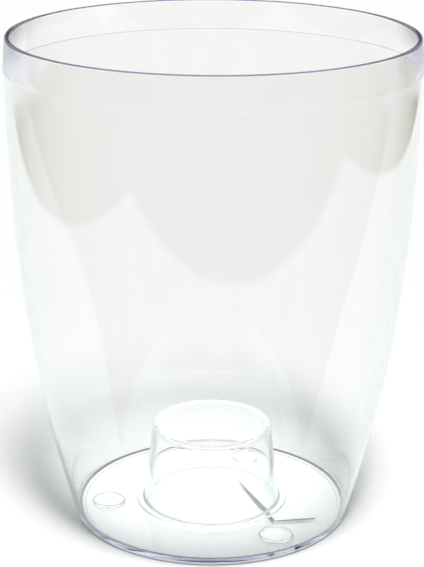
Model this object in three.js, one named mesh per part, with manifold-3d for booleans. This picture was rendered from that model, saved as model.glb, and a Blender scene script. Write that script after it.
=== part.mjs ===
// A clear plant pot for orchids. The moulded pot has a flared band under its lip, a bowed wall, a flat floor
// and a foot ring. A riser, an upturned cup with a flange, stands loose on the floor and holds the grow pot
// above the drained water. Three tapered plugs close the drain holes and stand a little proud of the floor.
// Millimetres, +Z up. The origin is the middle of the foot ring, on the surface that the pot stands on.
import * as THREE from "three";
import { mergeVertices } from "three/addons/utils/BufferGeometryUtils.js";
import Module from "manifold-3d";

const wasm = await Module();
wasm.setup();

// Pot: overall
const POT_HEIGHT = 164;
const LIP_RADIUS = 66; // outside of the lip
const FOOT_RADIUS = 47; // outside of the wall, carried down to the ground
const FOOT_LEAN = THREE.MathUtils.degToRad(16.2); // the wall's lean at its foot; it ends upright under the band
const WALL = 1.2;

// Pot: lip and band
const BAND_HEIGHT = 10.6;
const BAND_FLARE = 0.9; // how much wider the band's lower edge is than the lip, on both of its faces
const BAND_STEP = 0.45; // how far that edge stands out from the wall under it
const BAND_EDGE_ROUND = 0.2;
const LIP_ROUND = 0.7;

// Pot: floor and foot ring
const FLOOR = 1.5;
const FLOOR_FILLET = 2; // inside, between the floor and the wall
const FOOT_RING_HEIGHT = 0.5;
const FOOT_RING_WIDTH = 3;
const HEEL_ROUND = 1.2;

// Riser
const RISER_HEIGHT = 27.7;
const RISER_TOP_RADIUS = 20.2;
const RISER_DRAFT = THREE.MathUtils.degToRad(6.6);
const RISER_WALL = 1.6;
const RISER_TOP_ROUND = 1.4;
const FLANGE_WIDTH = 2.6; // how far the flange reaches past the riser's wall
const FLANGE = 0.7;
const FLANGE_EDGE_ROUND = 0.3;
const FLANGE_FILLET = 1.2;
const SEAT_GAP = 0.3; // between the riser's flange and the floor

// Drain plugs
const PLUG_COUNT = 3;
const PLUG_RADIUS = 5.5; // at the plug's upper face
const PLUG_CIRCLE_RADIUS = 35.7;
const PLUG_START = THREE.MathUtils.degToRad(-53.4); // the first plug's direction, from +X
const PLUG_TAPER = THREE.MathUtils.degToRad(6); // narrower below, so that a plug leaves upwards
const PLUG_GAP = 0.3; // all round the plug
const PLUG_PROUD = 0.7; // how far the plug's upper face stands above the floor
const PLUG_RECESS = 0.3; // how far its lower face lies above the floor's underside
const CUT_PAST = 0.5; // how far a drain hole's cutter reaches past the floor's faces

// Facets
const POT_SIDES = 60;
const RISER_SIDES = 40;
const PLUG_SIDES = 28;
const WALL_STEPS = 10;
const ROUND_STEPS = 3;

// Heights and radii that follow
const bandBottom = POT_HEIGHT - BAND_HEIGHT;
const bandRadius = LIP_RADIUS + BAND_FLARE;
const wallTopRadius = bandRadius - BAND_STEP;
const floorTop = FOOT_RING_HEIGHT + FLOOR;
const riserSeat = floorTop + SEAT_GAP;

// The outside of the wall in section: it leaves the ground at the foot's lean and ends upright under the band.
const third = bandBottom / 3;
const wallCurve = new THREE.CubicBezierCurve(
  new THREE.Vector2(FOOT_RADIUS, 0),
  new THREE.Vector2(FOOT_RADIUS + third * Math.tan(FOOT_LEAN), third),
  new THREE.Vector2(wallTopRadius, 2 * third),
  new THREE.Vector2(wallTopRadius, bandBottom),
);

// A corner of an outline, at a radius and a height, rounded if it says so.
function corner(r, z, round = 0) {
  return { at: new THREE.Vector2(r, z), round };
}

// The points of an outline, with an arc at each rounded corner. An arc takes at most half of the sides it joins.
function outline(corners) {
  return corners.flatMap(({ at, round }, i) => {
    if (round === 0) return [at];
    const toLast = corners[i - 1].at.clone().sub(at);
    const toNext = corners[i + 1].at.clone().sub(at);
    const half = toLast.angleTo(toNext) / 2;
    const room = Math.min(toLast.length(), toNext.length()) / 2;
    const radius = Math.min(round, room * Math.tan(half));
    const inwards = toLast.normalize().clone().add(toNext.normalize()).normalize();
    const centre = at.clone().addScaledVector(inwards, radius / Math.sin(half));
    const start = at.clone().addScaledVector(toLast, radius / Math.tan(half)).sub(centre);
    const turn = Math.sign(start.cross(inwards.negate())) * (Math.PI - 2 * half);
    return Array.from({ length: ROUND_STEPS + 1 }, (_, k) =>
      start.clone().rotateAround(new THREE.Vector2(), (turn * k) / ROUND_STEPS).add(centre),
    );
  });
}

// An outline turned round the Z axis. It runs up the outside and down the inside, so that the faces point out.
function turned(points, sides) {
  return new THREE.LatheGeometry(points, sides).rotateX(Math.PI / 2);
}

// A tapered disc standing on the XY plane.
function taperedDisc(topRadius, bottomRadius, height) {
  const disc = new THREE.CylinderGeometry(topRadius, bottomRadius, height, PLUG_SIDES);
  return disc.rotateX(Math.PI / 2).translate(0, 0, height / 2);
}

function solidFrom(geometry) {
  const bare = geometry.clone();
  bare.deleteAttribute("normal");
  bare.deleteAttribute("uv");
  const merged = mergeVertices(bare);
  const triVerts = new Uint32Array(merged.index.array);
  const vertProperties = merged.attributes.position.array;
  return new wasm.Manifold(new wasm.Mesh({ numProp: 3, vertProperties, triVerts }));
}

function geometryFrom(solid) {
  const { vertProperties, triVerts } = solid.getMesh();
  const geometry = new THREE.BufferGeometry();
  geometry.setAttribute("position", new THREE.BufferAttribute(vertProperties, 3));
  geometry.setIndex(new THREE.BufferAttribute(triVerts, 1));
  geometry.computeVertexNormals();
  return geometry;
}

// Corners along the wall, a given depth inside its outer face, from one share of its height to another.
function wallCorners(depth, from, to) {
  return Array.from({ length: WALL_STEPS + 1 }, (_, k) => {
    const share = THREE.MathUtils.lerp(from, to, k / WALL_STEPS);
    const along = wallCurve.getTangent(share);
    const at = wallCurve.getPoint(share);
    return corner(at.x - depth * along.y, at.y + depth * along.x);
  });
}

// Where each plug stands, at a height.
function plugPlaces(z) {
  return Array.from({ length: PLUG_COUNT }, (_, k) => {
    const direction = PLUG_START + (k * 2 * Math.PI) / PLUG_COUNT;
    const across = PLUG_CIRCLE_RADIUS * Math.cos(direction);
    const along = PLUG_CIRCLE_RADIUS * Math.sin(direction);
    return new THREE.Vector3(across, along, z);
  });
}

// A drain hole's cutter at its plug's place: the hole has the plug's taper, with the gap all round.
function drainCutter(place) {
  const height = FLOOR + 2 * CUT_PAST;
  const topRadius = PLUG_RADIUS + PLUG_GAP + (CUT_PAST - PLUG_PROUD) * Math.tan(PLUG_TAPER);
  const bottomRadius = topRadius - height * Math.tan(PLUG_TAPER);
  return taperedDisc(topRadius, bottomRadius, height).translate(place.x, place.y, place.z);
}

function makePotBody() {
  const mouthRadius = wallTopRadius - WALL - BAND_FLARE;
  const innerFoot = (floorTop - WALL * Math.sin(FOOT_LEAN)) / bandBottom;
  const ringInside = FOOT_RADIUS - FOOT_RING_WIDTH;
  const outside = wallCorners(0, 0, 1);
  const inside = wallCorners(WALL, innerFoot, 1).reverse();
  outside[0].round = HEEL_ROUND;
  inside[WALL_STEPS].round = FLOOR_FILLET;
  const section = outline([
    corner(0, FOOT_RING_HEIGHT),
    corner(ringInside, FOOT_RING_HEIGHT),
    corner(ringInside, 0),
    ...outside,
    corner(bandRadius, bandBottom, BAND_EDGE_ROUND),
    corner(LIP_RADIUS, POT_HEIGHT, LIP_ROUND),
    corner(mouthRadius, POT_HEIGHT, LIP_ROUND),
    ...inside,
    corner(0, floorTop),
  ]);
  const closed = solidFrom(turned(section, POT_SIDES));
  const cutters = plugPlaces(FOOT_RING_HEIGHT - CUT_PAST).map((place) => solidFrom(drainCutter(place)));
  return geometryFrom(cutters.reduce((pot, cutter) => pot.subtract(cutter), closed));
}

// The riser stands on the XY plane here, as it would on a bench.
function makeRiser() {
  const outerAt = (z) => RISER_TOP_RADIUS + (RISER_HEIGHT - z) * Math.tan(RISER_DRAFT);
  const innerAt = (z) => outerAt(z) - RISER_WALL;
  const innerTop = RISER_HEIGHT - RISER_WALL;
  const flangeRadius = outerAt(0) + FLANGE_WIDTH;
  const section = outline([
    corner(0, innerTop),
    corner(innerAt(innerTop), innerTop),
    corner(innerAt(0), 0),
    corner(flangeRadius, 0),
    corner(flangeRadius, FLANGE, FLANGE_EDGE_ROUND),
    corner(outerAt(FLANGE), FLANGE, FLANGE_FILLET),
    corner(RISER_TOP_RADIUS, RISER_HEIGHT, RISER_TOP_ROUND),
    corner(0, RISER_HEIGHT),
  ]);
  return turned(section, RISER_SIDES);
}

function makePlug() {
  const height = FLOOR + PLUG_PROUD - PLUG_RECESS;
  const bottomRadius = PLUG_RADIUS - height * Math.tan(PLUG_TAPER);
  return taperedDisc(PLUG_RADIUS, bottomRadius, height);
}

// Clear polystyrene with a faint violet tone, glossy where it was polished in the mould.
function clearPlastic(color, roughness) {
  return new THREE.MeshStandardMaterial({ color, roughness, metalness: 0, transparent: true, opacity: 0.35 });
}

function piece(name, geometry, material, place) {
  const mesh = new THREE.Mesh(geometry, material);
  mesh.name = name;
  mesh.position.copy(place);
  return mesh;
}

const plantPot = new THREE.Group();
plantPot.add(piece("pot_body", makePotBody(), clearPlastic(0xeceaf4, 0.06), new THREE.Vector3()));
plantPot.add(piece("riser", makeRiser(), clearPlastic(0xf3f4f6, 0.08), new THREE.Vector3(0, 0, riserSeat)));
plugPlaces(FOOT_RING_HEIGHT + PLUG_RECESS).forEach((place, k) => {
  plantPot.add(piece(`drain_plug_${k + 1}`, makePlug(), clearPlastic(0xeef0f3, 0.1), place));
});

export default plantPot;
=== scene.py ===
"""The looks of a clear plant pot: finely turned plastic, a white sheet in soft light, and the camera."""
import math

import bpy
from mathutils import Euler, Matrix, Vector


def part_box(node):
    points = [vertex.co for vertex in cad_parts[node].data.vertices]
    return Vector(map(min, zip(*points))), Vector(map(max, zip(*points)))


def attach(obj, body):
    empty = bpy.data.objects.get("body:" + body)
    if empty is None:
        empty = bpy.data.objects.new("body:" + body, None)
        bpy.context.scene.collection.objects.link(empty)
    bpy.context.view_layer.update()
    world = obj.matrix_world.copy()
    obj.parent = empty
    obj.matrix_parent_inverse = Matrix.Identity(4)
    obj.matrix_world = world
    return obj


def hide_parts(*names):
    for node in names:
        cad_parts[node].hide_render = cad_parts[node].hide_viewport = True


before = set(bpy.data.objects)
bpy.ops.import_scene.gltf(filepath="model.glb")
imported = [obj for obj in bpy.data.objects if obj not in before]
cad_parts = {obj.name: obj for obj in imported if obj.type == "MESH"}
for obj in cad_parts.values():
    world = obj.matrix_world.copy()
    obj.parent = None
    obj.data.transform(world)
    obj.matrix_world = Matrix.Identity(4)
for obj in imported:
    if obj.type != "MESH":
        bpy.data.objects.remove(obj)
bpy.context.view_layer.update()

MM = 0.001

# Pot, in millimetres
POT_HEIGHT = 164
LIP_RADIUS = 66
FOOT_RADIUS = 47
FOOT_LEAN = math.radians(16.2)
WALL = 1.2
BAND_HEIGHT = 10.6
BAND_FLARE = 0.9
BAND_STEP = 0.45
BAND_EDGE_ROUND = 0.2
LIP_ROUND = 0.7
FLOOR = 1.5
FLOOR_FILLET = 2
FOOT_RING_HEIGHT = 0.5
FOOT_RING_WIDTH = 3
HEEL_ROUND = 1.2
RING_EDGE_ROUND = 0.2

# Riser, in millimetres
RISER_HEIGHT = 27.7
RISER_TOP_RADIUS = 20.2
RISER_DRAFT = math.radians(6.6)
RISER_WALL = 1.6
RISER_TOP_ROUND = 1.4
RISER_INNER_ROUND = 0.6
FLANGE_WIDTH = 2.6
FLANGE = 0.7
FLANGE_EDGE_ROUND = 0.3
FLANGE_FILLET = 1.2
FLANGE_FOOT_ROUND = 0.2
SEAT_GAP = 0.3

# Drain plugs, in millimetres
PLUG_COUNT = 3
PLUG_RADIUS = 5.5
PLUG_TAPER = math.radians(6)
PLUG_GAP = 0.3
PLUG_PROUD = 0.7
PLUG_RECESS = 0.3
PLUG_EDGE_ROUND = 0.3
CUT_PAST = 0.5

# Smoothness
POT_SIDES = 192
RISER_SIDES = 128
PLUG_SIDES = 72
WALL_STEPS = 24
ROUND_STEPS = 6
ARC_SHARE = 0.45
STRETCH_SHARE = 0.08
CREASE = math.radians(32)

# Plastic: its tone along a long path, its faint haze, and the upright flow streaks that a mould leaves
POT_TINT, POT_DENSITY = (0.42, 0.42, 0.66, 1), 13
LOOSE_TINT, LOOSE_DENSITY = (0.6, 0.6, 0.7, 1), 8
CLEAR_IOR = 1.52
HAZE_LIGHT = (1, 1, 1, 1)
HAZE_DARK = (0.99, 0.995, 0.991, 1)
STREAK_SCALE = (220, 220, 9)
STREAK_DETAIL, STREAK_FINENESS = 3, 0.55
STREAK_DEPTH = 0.00002
STREAK_RANGE = (0.35, 0.65)
POT_ROUGHNESS, POT_STREAKS = (0, 0.005), 0.06
RISER_ROUGHNESS, RISER_STREAKS = (0.02, 0.05), 0.08
PLUG_ROUGHNESS, PLUG_STREAKS = (0.04, 0.1), 0.15

# How much light passes to the shadow, as stops from face on, 0, to edge on, 1
POT_PASSES = ((0.5, 1), (0.74, (0.68, 0.72, 0.7, 1)), (0.9, (0.18, 0.22, 0.21, 1)), (1, 0.03))
LOOSE_PASSES = ((0.5, 1.18), (1, 0.95))

# Shadow where the foot touches the ground; a painted shade line along the foot's outer edge; the painted
# shade of the lip's edge, the dark it shows by looking down the whole wall; and its painted fade down the
# band where that is seen edge on. Heights are in millimetres.
CONTACT_HEIGHT = 0.8
CONTACT_SHADE = (0.1, 0.1, 0.12, 1)
PAINTED_FOOT_SHADE_HEIGHT = 0.4
PAINTED_FOOT_SHADE = (0.2, 0.2, 0.28, 1)
LIP_EDGE = 0.4
PAINTED_LIP_SHADE = (0.06, 0.06, 0.2, 1)
LIP_FADE = 10.5
LIP_FADE_FACING = (0.4, 0.85)
PAINTED_LIP_FADE_SHADE = (0.18, 0.16, 0.27, 1)

# Two hairline marks on the floor, in millimetres: the place and width at the start, the middle and the end
HAIRLINES = (
    ((21.0, -19.1, 0.9), (15.6, -3.4, 1.2), (9.3, 13.3, 0.2)),
    ((21.0, -19.1, 0.7), (28.0, -18.1, 1.3), (35.0, -16.9, 1.0)),
)
HAIRLINE_HEIGHT = 0.08
HAIRLINE_LIFT = 0.02
HAIRLINE_STEPS = 16
HAIRLINE_DARK, HAIRLINE_LIGHT = (0.14, 0.14, 0.17, 1), (0.36, 0.35, 0.38, 1)
HAIRLINE_GRAIN, HAIRLINE_BUMP = 700, 0.4
HAIRLINE_DETAIL, HAIRLINE_FINENESS = 4, 0.6
HAIRLINE_COLOUR_RANGE = (0.35, 0.65)
HAIRLINE_ROUGH_RANGE = (0.3, 0.7)
HAIRLINE_ROUGHNESS = (0.5, 0.8)

# The white sheet, turned under the pot, in metres from the pot's axis; the table shows beyond it
FLOOR_REACH = 20
SHEET_TURN = math.radians(11)
SHEET_LEFT = -0.347
SHEET_RIGHT = 0.46
SHEET_FRONT = -0.261
SHEET_EDGE_BLUR = 0.012
SHEET_DROP = 0.00005
SHEET_WHITE = (0.97, 0.97, 0.97, 1)
# The sheet as reflections show it: painted shade, a little dimmer and greener than to the eye
SHEET_REFLECTED = (0.89, 0.94, 0.91, 1)
TABLE_BROWN = (0.2, 0.18, 0.04, 1)
TABLE_FAR = (0.9, 0.9, 1, 1)
TABLE_FAR_START = (0.4, 0.6)

# Light: the lamps' azimuths and elevations in degrees, and shares of a white floor's brightness
LAMP_DIRECTIONS = ((-78, 76), (-78, 65))
LAMP_SHARE, LAMP_ANGLE = 0.75, 10
ROOM_SHARE = 0.25
ROOM_SEEN = (1, 1, 1, 1)
ROOM_BACK = (1.5, 1.5, 1.5, 1)
ROOM_BACK_LOW = (0.2, 0.19, 0.28, 1)
ROOM_SIDE = (0.7, 0.8, 0.76, 1)
ROOM_FRONT = (0.75, 0.75, 0.75, 1)
ROOM_FRONT_LOW = (0.2, 0.2, 0.16, 1)
LIGHT_BOUNCES, SHADOW_BOUNCES = 128, 32

# Where one part of the room gives way to the next, as parts of a direction of length 1
ROOM_BEHIND = (-0.3, 0.3)
ROOM_SIDEWAYS = (0.35, 0.75)
FRONT_HIGH = (0.2, 0.45)
BACK_LOW_ACROSS = (0.13, 0.25)
BACK_HIGH = (0.22, 0.32)

# Camera: its place in metres, its sensor in millimetres, the picture and the focal length in pixels
CAMERA_PLACE = (-0.00014, -0.519, 0.259)
CAMERA_PITCH = math.radians(-19.035)
CAMERA_ROLL = math.radians(0.26)
SENSOR = 36
PICTURE_HEIGHT = 567
FOCAL_PIXELS = 1647

band_bottom = POT_HEIGHT - BAND_HEIGHT
band_radius = LIP_RADIUS + BAND_FLARE
wall_top_radius = band_radius - BAND_STEP
mouth_radius = wall_top_radius - WALL - BAND_FLARE
floor_top = FOOT_RING_HEIGHT + FLOOR
riser_foot = floor_top + SEAT_GAP
riser_top = riser_foot + RISER_HEIGHT
plug_bottom = FOOT_RING_HEIGHT + PLUG_RECESS
plug_top = floor_top + PLUG_PROUD


def corner(r, z, rounding=0):
    """A corner of an outline, at a radius and a height, rounded if it says so."""
    return Vector((r, z)), rounding


def outline(corners):
    """The points of an outline, with an arc at each rounded corner. A short straight stretch before and after
    each arc keeps the smooth shading flat beyond it."""
    points = []
    for i, (at, rounding) in enumerate(corners):
        if rounding == 0:
            points.append(at)
            continue
        to_last = corners[i - 1][0] - at
        to_next = corners[i + 1][0] - at
        half = to_last.angle(to_next) / 2
        room = min(to_last.length, to_next.length) * ARC_SHARE
        radius = min(rounding, room * math.tan(half))
        reach = radius / math.tan(half)
        inwards = (to_last.normalized() + to_next.normalized()).normalized()
        centre = at + inwards * (radius / math.sin(half))
        start = at + to_last.normalized() * reach - centre
        side = start.x * -inwards.y - start.y * -inwards.x
        turn = math.copysign(math.pi - 2 * half, side)
        points.append(at + to_last.normalized() * (reach + room * STRETCH_SHARE))
        for k in range(ROUND_STEPS + 1):
            angle = turn * k / ROUND_STEPS
            c, s = math.cos(angle), math.sin(angle)
            points.append(centre + Vector((start.x * c - start.y * s, start.x * s + start.y * c)))
        points.append(at + to_next.normalized() * (reach + room * STRETCH_SHARE))
    return points


def wall_section(share):
    """A point of the wall's outer face in section, and its direction, at a share of the way up."""
    third = band_bottom / 3
    a = Vector((FOOT_RADIUS, 0))
    b = Vector((FOOT_RADIUS + third * math.tan(FOOT_LEAN), third))
    c = Vector((wall_top_radius, 2 * third))
    d = Vector((wall_top_radius, band_bottom))
    rest = 1 - share
    at = a * rest**3 + b * (3 * share * rest**2) + c * (3 * share**2 * rest) + d * share**3
    along = (b - a) * rest**2 + (c - b) * (2 * share * rest) + (d - c) * share**2
    return at, along.normalized()


def wall_corners(depth, start, end):
    """Corners along the wall, a given depth inside its outer face."""
    corners = []
    for k in range(WALL_STEPS + 1):
        at, along = wall_section(start + (end - start) * k / WALL_STEPS)
        corners.append(corner(at.x - depth * along.y, at.y + depth * along.x))
    return corners


def mesh_object(name, vertices, faces):
    mesh = bpy.data.meshes.new(name)
    mesh.from_pydata(vertices, [], faces)
    mesh.validate()
    obj = bpy.data.objects.new(name, mesh)
    bpy.context.scene.collection.objects.link(obj)
    return obj


def turned(name, points, sides):
    """A mesh object of an outline turned round the Z axis, in metres. The outline runs from axis to axis."""
    low, high, rings = points[0], points[-1], points[1:-1]
    vertices = [(0, 0, low.y * MM), (0, 0, high.y * MM)]
    for k in range(sides):
        turn = 2 * math.pi * k / sides
        vertices += [(p.x * MM * math.cos(turn), p.x * MM * math.sin(turn), p.y * MM) for p in rings]
    count = len(rings)
    faces = []
    for k in range(sides):
        here, there = 2 + k * count, 2 + (k + 1) % sides * count
        faces.append((0, there, here))
        faces += [(here + j, there + j, there + j + 1, here + j + 1) for j in range(count - 1)]
        faces.append((1, here + count - 1, there + count - 1))
    return mesh_object(name, vertices, faces)


def smooth(obj):
    """Smooth shading, with creases only at the sharp edges."""
    obj.data.polygons.foreach_set("use_smooth", [True] * len(obj.data.polygons))
    obj.data.set_sharp_from_angle(angle=CREASE)


def plug_places():
    """Where the plugs stand, from the frame, in metres."""
    boxes = [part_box(f"drain_plug_{k + 1}") for k in range(PLUG_COUNT)]
    return [(low + high) / 2 for low, high in boxes]


def plug_radius_at(z):
    return PLUG_RADIUS + (z - plug_top) * math.tan(PLUG_TAPER)


def cut_drains(pot):
    """Cuts the tapered drain holes into the pot's floor."""
    bottom, top = FOOT_RING_HEIGHT - CUT_PAST, floor_top + CUT_PAST
    section = [
        Vector((0, bottom)),
        Vector((plug_radius_at(bottom) + PLUG_GAP, bottom)),
        Vector((plug_radius_at(top) + PLUG_GAP, top)),
        Vector((0, top)),
    ]
    for place in plug_places():
        cutter = turned("drain_cutter", section, PLUG_SIDES)
        cutter.location = (place.x, place.y, 0)
        cut = pot.modifiers.new("drain", "BOOLEAN")
        cut.operation = "DIFFERENCE"
        cut.solver = "EXACT"
        cut.object = cutter
        bpy.context.view_layer.update()
        whole = bpy.data.meshes.new_from_object(pot.evaluated_get(bpy.context.evaluated_depsgraph_get()))
        pot.modifiers.clear()
        pot.data = whole
        bpy.data.objects.remove(cutter)


def make_pot():
    inner_foot = (floor_top - WALL * math.sin(FOOT_LEAN)) / band_bottom
    ring_inside = FOOT_RADIUS - FOOT_RING_WIDTH
    outside = wall_corners(0, 0, 1)
    inside = wall_corners(WALL, inner_foot, 1)[::-1]
    outside[0] = (outside[0][0], HEEL_ROUND)
    inside[-1] = (inside[-1][0], FLOOR_FILLET)
    section = outline([
        corner(0, FOOT_RING_HEIGHT),
        corner(ring_inside, FOOT_RING_HEIGHT, RING_EDGE_ROUND),
        corner(ring_inside, 0, RING_EDGE_ROUND),
        *outside,
        corner(band_radius, band_bottom, BAND_EDGE_ROUND),
        corner(LIP_RADIUS, POT_HEIGHT, LIP_ROUND),
        corner(mouth_radius, POT_HEIGHT, LIP_ROUND),
        *inside,
        corner(0, floor_top),
    ])
    pot = turned("pot", section, POT_SIDES)
    cut_drains(pot)
    smooth(pot)
    return pot


def make_riser():
    spread = math.tan(RISER_DRAFT)

    def outer_at(z):
        return RISER_TOP_RADIUS + (riser_top - z) * spread

    inner_top = riser_top - RISER_WALL
    flange_top = riser_foot + FLANGE
    flange_radius = outer_at(riser_foot) + FLANGE_WIDTH
    section = outline([
        corner(0, inner_top),
        corner(outer_at(inner_top) - RISER_WALL, inner_top, RISER_INNER_ROUND),
        corner(outer_at(riser_foot) - RISER_WALL, riser_foot, FLANGE_FOOT_ROUND),
        corner(flange_radius, riser_foot, FLANGE_FOOT_ROUND),
        corner(flange_radius, flange_top, FLANGE_EDGE_ROUND),
        corner(outer_at(flange_top), flange_top, FLANGE_FILLET),
        corner(RISER_TOP_RADIUS, riser_top, RISER_TOP_ROUND),
        corner(0, riser_top),
    ])
    riser = turned("riser_cup", section, RISER_SIDES)
    smooth(riser)
    return riser


def make_plug(number, place):
    section = outline([
        corner(0, plug_bottom),
        corner(plug_radius_at(plug_bottom), plug_bottom, PLUG_EDGE_ROUND),
        corner(PLUG_RADIUS, plug_top, PLUG_EDGE_ROUND),
        corner(0, plug_top),
    ])
    plug = turned(f"plug_{number}", section, PLUG_SIDES)
    plug.data.transform(Matrix.Translation((place.x, place.y, 0)))
    smooth(plug)
    return plug


def add(tree, kind, **values):
    """A new shader node, with its input sockets or properties set by name."""
    made = tree.nodes.new(kind)
    for name, value in values.items():
        if name in made.inputs:
            made.inputs[name].default_value = value
        else:
            setattr(made, name, value)
    return made


def new_material(name):
    """A new material, its node tree and the output in it."""
    material = bpy.data.materials.new(name)
    material.use_nodes = True
    tree = material.node_tree
    tree.nodes.clear()
    return material, tree, add(tree, "ShaderNodeOutputMaterial")


def ramp(tree, fac, stops):
    """A colour ramp through (position, grey level or colour) stops."""
    stops = list(stops)
    made = add(tree, "ShaderNodeValToRGB")
    elements = made.color_ramp.elements
    while len(elements) < len(stops):
        elements.new(0.5)
    for element, (position, colour) in zip(elements, stops):
        element.position = position
        element.color = colour if isinstance(colour, tuple) else (colour, colour, colour, 1)
    tree.links.new(fac, made.inputs["Fac"])
    return made.outputs["Color"]


def math_node(tree, operation, *values):
    """A math node on sockets or numbers."""
    made = add(tree, "ShaderNodeMath", operation=operation)
    for socket, value in zip(made.inputs, values):
        if isinstance(value, (int, float)):
            socket.default_value = value
        else:
            tree.links.new(value, socket)
    return made.outputs[0]


def mix_colour(tree, fac, a, b):
    """A mix of two colours by a factor socket."""
    made = add(tree, "ShaderNodeMix", data_type="RGBA")
    tree.links.new(fac, made.inputs["Factor"])
    for name, value in (("A", a), ("B", b)):
        if isinstance(value, tuple):
            made.inputs[name].default_value = value
        else:
            tree.links.new(value, made.inputs[name])
    return made.outputs["Result"]


def soft_step(tree, value, low, high):
    """0 up to a low value, 1 from a high one, and a smooth rise between them."""
    made = add(tree, "ShaderNodeMapRange", interpolation_type="SMOOTHSTEP")
    made.inputs["From Min"].default_value = low
    made.inputs["From Max"].default_value = high
    tree.links.new(value, made.inputs["Value"])
    return made.outputs["Result"]


def split(tree, vector):
    """The X, Y and Z of a vector socket."""
    axes = add(tree, "ShaderNodeSeparateXYZ")
    tree.links.new(vector, axes.inputs["Vector"])
    return axes.outputs


def edge_on(tree):
    """0 where a surface is seen face on, and 1 where it is seen edge on."""
    return add(tree, "ShaderNodeLayerWeight", Blend=0.5).outputs["Facing"]


def darker_foot(tree, colour, height, shade):
    """A colour that becomes a darker shade on the outer half of the foot ring, up to a height."""
    place = add(tree, "ShaderNodeTexCoord")
    x, y, z = split(tree, place.outputs["Object"])
    squares = math_node(tree, "ADD", math_node(tree, "MULTIPLY", x, x), math_node(tree, "MULTIPLY", y, y))
    out = math_node(tree, "SQRT", squares)
    low = math_node(tree, "LESS_THAN", z, height * MM)
    ring = math_node(tree, "GREATER_THAN", out, (FOOT_RADIUS - FOOT_RING_WIDTH / 2) * MM)
    return mix_colour(tree, math_node(tree, "MULTIPLY", low, ring), colour, shade)


def darker_lip(tree, colour):
    """A colour with painted shade: a deep violet on the edge of the lip, which fades towards it where the
    band under the lip is seen edge on."""
    place = add(tree, "ShaderNodeTexCoord")
    z = split(tree, place.outputs["Object"])["Z"]
    turned_away = soft_step(tree, edge_on(tree), *LIP_FADE_FACING)
    near = soft_step(tree, z, (POT_HEIGHT - LIP_FADE) * MM, POT_HEIGHT * MM)
    faded = mix_colour(tree, math_node(tree, "MULTIPLY", turned_away, near), colour, PAINTED_LIP_FADE_SHADE)
    edge = soft_step(tree, z, (POT_HEIGHT - LIP_EDGE) * MM, (POT_HEIGHT - LIP_EDGE / 2) * MM)
    return mix_colour(tree, edge, faded, PAINTED_LIP_SHADE)


def flow_streaks(tree):
    """Noise drawn out along the height, as plastic leaves it when it flows up a mould."""
    place = add(tree, "ShaderNodeTexCoord")
    stretched = add(tree, "ShaderNodeMapping", Scale=STREAK_SCALE)
    noise = add(tree, "ShaderNodeTexNoise", Scale=1, Detail=STREAK_DETAIL, Roughness=STREAK_FINENESS)
    tree.links.new(place.outputs["Object"], stretched.inputs["Vector"])
    tree.links.new(stretched.outputs["Vector"], noise.inputs["Vector"])
    return noise.outputs["Fac"]


def clear_plastic(name, passes, tint, density, roughness, streak_strength):
    """Clear moulded plastic. passes says how much light goes on to its shadow, from face on to edge on.
    roughness is its lowest and highest along the streaks."""
    material, tree, output = new_material(name)
    link = tree.links.new
    glass = add(tree, "ShaderNodeBsdfPrincipled")
    glass.inputs["IOR"].default_value = CLEAR_IOR
    glass.inputs["Transmission Weight"].default_value = 1
    streaks = flow_streaks(tree)
    haze = ramp(tree, streaks, zip(STREAK_RANGE, (HAZE_LIGHT, HAZE_DARK)))
    # Painted shade in the base colour: darker along the foot's outer edge, on the lip's edge, and down the
    # band's ends seen edge on
    edged = darker_lip(tree, darker_foot(tree, haze, PAINTED_FOOT_SHADE_HEIGHT, PAINTED_FOOT_SHADE))
    link(edged, glass.inputs["Base Color"])
    link(ramp(tree, streaks, zip(STREAK_RANGE, roughness)), glass.inputs["Roughness"])
    bump = add(tree, "ShaderNodeBump", Strength=streak_strength, Distance=STREAK_DEPTH)
    link(streaks, bump.inputs["Height"])
    link(bump.outputs["Normal"], glass.inputs["Normal"])
    shade = add(tree, "ShaderNodeBsdfTransparent")
    passed = ramp(tree, edge_on(tree), passes)
    link(darker_foot(tree, passed, CONTACT_HEIGHT, CONTACT_SHADE), shade.inputs["Color"])
    path = add(tree, "ShaderNodeLightPath")
    mix = add(tree, "ShaderNodeMixShader")
    link(path.outputs["Is Shadow Ray"], mix.inputs["Fac"])
    link(glass.outputs["BSDF"], mix.inputs[1])
    link(shade.outputs["BSDF"], mix.inputs[2])
    link(mix.outputs["Shader"], output.inputs["Surface"])
    absorb = add(tree, "ShaderNodeVolumeAbsorption", Color=tint, Density=density)
    link(absorb.outputs["Volume"], output.inputs["Volume"])
    return material


def hairline_grey():
    """A dull grey that varies along a hairline mark."""
    material, tree, output = new_material("hairline_grey")
    link = tree.links.new
    dull = add(tree, "ShaderNodeBsdfPrincipled")
    place = add(tree, "ShaderNodeTexCoord")
    noise = add(tree, "ShaderNodeTexNoise", Scale=HAIRLINE_GRAIN)
    noise.inputs["Detail"].default_value = HAIRLINE_DETAIL
    noise.inputs["Roughness"].default_value = HAIRLINE_FINENESS
    link(place.outputs["Object"], noise.inputs["Vector"])
    grain = noise.outputs["Fac"]
    greys = zip(HAIRLINE_COLOUR_RANGE, (HAIRLINE_DARK, HAIRLINE_LIGHT))
    link(ramp(tree, grain, greys), dull.inputs["Base Color"])
    link(ramp(tree, grain, zip(HAIRLINE_ROUGH_RANGE, HAIRLINE_ROUGHNESS)), dull.inputs["Roughness"])
    bump = add(tree, "ShaderNodeBump", Strength=HAIRLINE_BUMP, Distance=STREAK_DEPTH)
    link(grain, bump.inputs["Height"])
    link(bump.outputs["Normal"], dull.inputs["Normal"])
    link(dull.outputs["BSDF"], output.inputs["Surface"])
    return material


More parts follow.
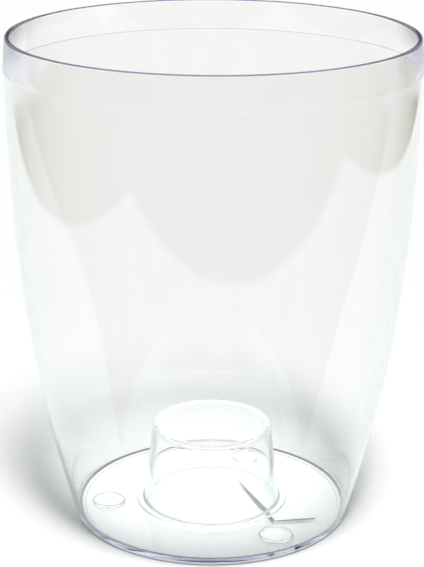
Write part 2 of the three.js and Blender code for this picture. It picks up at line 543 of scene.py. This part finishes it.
def make_hairline(number, start, middle, end):
    """A low ridge on the floor along a curve through three places, each with the ridge's width there."""
    base = (floor_top + HAIRLINE_LIFT) * MM
    crest = base + HAIRLINE_HEIGHT * MM
    along = (Vector(end[:2]) - Vector(start[:2])).normalized()
    across = Vector((-along.y, along.x))
    vertices = []
    for k in range(HAIRLINE_STEPS + 1):
        share = k / HAIRLINE_STEPS
        weights = (1 - share) * (1 - 2 * share), 4 * share * (1 - share), share * (2 * share - 1)
        x, y, width = sum((Vector(p) * w for p, w in zip((start, middle, end), weights)), Vector((0, 0, 0)))
        side = across * (width / 2)
        vertices.append(((x + side.x) * MM, (y + side.y) * MM, base))
        vertices.append((x * MM, y * MM, crest))
        vertices.append(((x - side.x) * MM, (y - side.y) * MM, base))
    faces = [(0, 1, 2)]
    for k in range(HAIRLINE_STEPS):
        a, b, c = 3 * k, 3 * k + 1, 3 * k + 2
        faces += [(a, a + 3, b + 3, b), (b, b + 3, c + 3, c), (c, c + 3, a + 3, a)]
    last = 3 * HAIRLINE_STEPS
    faces.append((last, last + 2, last + 1))
    return mesh_object(f"floor_hairline_{number}", vertices, faces)


def dress(obj, body, material, cad_node=None):
    """Gives a piece its material and its place in the frame. A piece with no CAD node is an added detail."""
    obj.data.materials.clear()
    obj.data.materials.append(material)
    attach(obj, body)
    if cad_node:
        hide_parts(cad_node)


def make_object():
    pot_look = POT_PASSES, POT_TINT, POT_DENSITY
    loose_look = LOOSE_PASSES, LOOSE_TINT, LOOSE_DENSITY
    pot_plastic = clear_plastic("clear_pot", *pot_look, POT_ROUGHNESS, POT_STREAKS)
    riser_plastic = clear_plastic("clear_riser", *loose_look, RISER_ROUGHNESS, RISER_STREAKS)
    plug_plastic = clear_plastic("clear_plug", *loose_look, PLUG_ROUGHNESS, PLUG_STREAKS)
    dress(make_pot(), "pot", pot_plastic, "pot_body")
    dress(make_riser(), "riser", riser_plastic, "riser")
    for k, place in enumerate(plug_places()):
        plug = make_plug(k + 1, place)
        dress(plug, f"plug_{k + 1}", plug_plastic, f"drain_plug_{k + 1}")
    grey = hairline_grey()
    for k, points in enumerate(HAIRLINES):
        dress(make_hairline(k + 1, *points), "pot", grey)


def reflected_ray(tree):
    """1 on a path that a surface has reflected, and 0 on one that came straight or through clear plastic."""
    path = add(tree, "ShaderNodeLightPath")
    return math_node(tree, "GREATER_THAN", path.outputs["Glossy Depth"], 0.5)


def beyond(tree, coordinate, edge, way):
    """How far past an edge of the sheet a point lies, from 0 to 1 across the blurred edge. way is 1 or -1."""
    past = math_node(tree, "MULTIPLY", math_node(tree, "SUBTRACT", coordinate, edge), way)
    return soft_step(tree, past, -SHEET_EDGE_BLUR, SHEET_EDGE_BLUR)


def make_floor():
    """A white sheet to the eye. Reflections show it in a painted shade, dimmer than to the eye, and the table
    past its edges.
    """
    signs = (-1, -1), (1, -1), (1, 1), (-1, 1)
    square = [(x * FLOOR_REACH, y * FLOOR_REACH, 0) for x, y in signs]
    floor = mesh_object("floor", square, [(0, 1, 2, 3)])
    floor.location.z = -SHEET_DROP
    floor.rotation_euler.z = SHEET_TURN
    material, tree, output = new_material("sheet")
    diffuse = add(tree, "ShaderNodeBsdfDiffuse")
    tree.links.new(diffuse.outputs["BSDF"], output.inputs["Surface"])
    place = add(tree, "ShaderNodeTexCoord")
    x, y, _ = split(tree, place.outputs["Object"])
    sides = math_node(tree, "MAXIMUM", beyond(tree, x, SHEET_LEFT, -1), beyond(tree, x, SHEET_RIGHT, 1))
    off_sheet = math_node(tree, "MAXIMUM", sides, beyond(tree, y, SHEET_FRONT, -1))
    table = mix_colour(tree, soft_step(tree, y, *TABLE_FAR_START), TABLE_BROWN, TABLE_FAR)
    reflected = mix_colour(tree, off_sheet, SHEET_REFLECTED, table)
    tree.links.new(mix_colour(tree, reflected_ray(tree), SHEET_WHITE, reflected), diffuse.inputs["Color"])
    floor.data.materials.append(material)


def make_lamp(azimuth, elevation):
    """One of the lamps high above the pot, as a soft sun. Together they are a long lamp."""
    light = bpy.data.lights.new("lamp", "SUN")
    light.energy = math.pi * LAMP_SHARE / len(LAMP_DIRECTIONS) / math.sin(elevation)
    light.angle = math.radians(LAMP_ANGLE)
    lamp = bpy.data.objects.new("lamp", light)
    level = math.cos(elevation)
    towards = Vector((math.cos(azimuth) * level, math.sin(azimuth) * level, math.sin(elevation)))
    lamp.rotation_mode = "QUATERNION"
    lamp.rotation_quaternion = towards.to_track_quat("Z", "Y")
    lamp.visible_glossy = False
    lamp.visible_transmission = False
    bpy.context.scene.collection.objects.link(lamp)


def make_room():
    """White to the eye. Reflections show a white wall behind the pot with a dark gap low in its middle,
    greyer sides and a darker front."""
    world = bpy.data.worlds.new("room")
    bpy.context.scene.world = world
    world.use_nodes = True
    tree = world.node_tree
    tree.nodes.clear()
    output = add(tree, "ShaderNodeOutputWorld")
    background = add(tree, "ShaderNodeBackground")
    tree.links.new(background.outputs["Background"], output.inputs["Surface"])
    direction = add(tree, "ShaderNodeTexCoord")
    x, y, z = split(tree, direction.outputs["Generated"])
    behind = soft_step(tree, y, *ROOM_BEHIND)
    across = math_node(tree, "ABSOLUTE", x)
    sideways = soft_step(tree, across, *ROOM_SIDEWAYS)
    front = mix_colour(tree, soft_step(tree, z, *FRONT_HIGH), ROOM_FRONT_LOW, ROOM_FRONT)
    low_back = mix_colour(tree, soft_step(tree, across, *BACK_LOW_ACROSS), ROOM_BACK_LOW, ROOM_SIDE)
    back = mix_colour(tree, soft_step(tree, z, *BACK_HIGH), low_back, ROOM_BACK)
    room = mix_colour(tree, sideways, mix_colour(tree, behind, front, back), ROOM_SIDE)
    seen = mix_colour(tree, reflected_ray(tree), ROOM_SEEN, room)
    path = add(tree, "ShaderNodeLightPath")
    lit = mix_colour(tree, path.outputs["Is Diffuse Ray"], seen, (ROOM_SHARE,) * 3 + (1,))
    tree.links.new(lit, background.inputs["Color"])


def make_camera():
    data = bpy.data.cameras.new("camera")
    data.sensor_width = SENSOR
    data.lens = SENSOR * FOCAL_PIXELS / PICTURE_HEIGHT
    camera = bpy.data.objects.new("camera", data)
    camera.location = CAMERA_PLACE
    camera.rotation_mode = "QUATERNION"
    pitch = Euler((math.pi / 2 + CAMERA_PITCH, 0, 0)).to_quaternion()
    camera.rotation_quaternion = pitch @ Euler((0, 0, CAMERA_ROLL)).to_quaternion()
    bpy.context.scene.collection.objects.link(camera)
    bpy.context.scene.camera = camera


def set_view():
    scene = bpy.context.scene
    scene.view_settings.view_transform = "Standard"
    scene.cycles.max_bounces = LIGHT_BOUNCES
    scene.cycles.transmission_bounces = LIGHT_BOUNCES
    scene.cycles.glossy_bounces = LIGHT_BOUNCES
    scene.cycles.transparent_max_bounces = SHADOW_BOUNCES


make_object()
make_floor()
for azimuth, elevation in LAMP_DIRECTIONS:
    make_lamp(math.radians(azimuth), math.radians(elevation))
make_room()
make_camera()
set_view()
